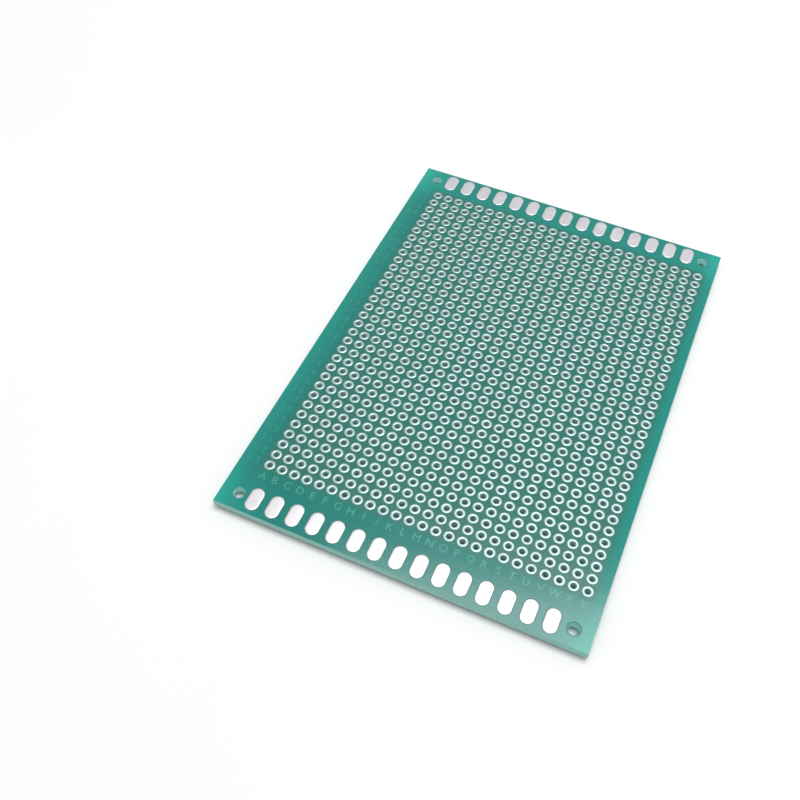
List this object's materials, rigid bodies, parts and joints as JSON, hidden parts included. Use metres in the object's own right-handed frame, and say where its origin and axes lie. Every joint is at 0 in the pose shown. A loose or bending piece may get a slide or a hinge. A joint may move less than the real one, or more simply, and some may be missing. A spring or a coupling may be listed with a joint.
{
  "type": "prototyping circuit board",
  "caption": "Bare single-sided prototyping board: a thin green sheet with a grid of tinned ring pads round lead holes, oval edge pads at both short ends and corner mounting holes.",
  "frame": {"origin": "centre of the underside, on the lacquer of the component side, as the board lies with its pads up", "axes": "+X across the columns, from column A to the last column; +Y along the columns, from the last row to row 1; +Z out of the pad side"},
  "size_m": [0.07, 0.1, 0.0016],
  "materials": {
    "glass_epoxy": "sawn glass-epoxy sheet, slightly see-through",
    "pad_side_lacquer": "glossy green solder resist",
    "component_side_lacquer": "glossy green solder resist",
    "ring_tin": "satin tinned copper",
    "near_edge_tin": "satin tinned copper",
    "far_edge_tin": "satin tinned copper"
  },
  "bodies": {
    "root": {"laminate": "glass_epoxy", "pad_side_mask": "pad_side_lacquer", "component_side_mask": "component_side_lacquer", "ring_pads": "ring_tin", "near_edge_pads": "near_edge_tin", "far_edge_pads": "far_edge_tin"}
  },
  "joints": []
}
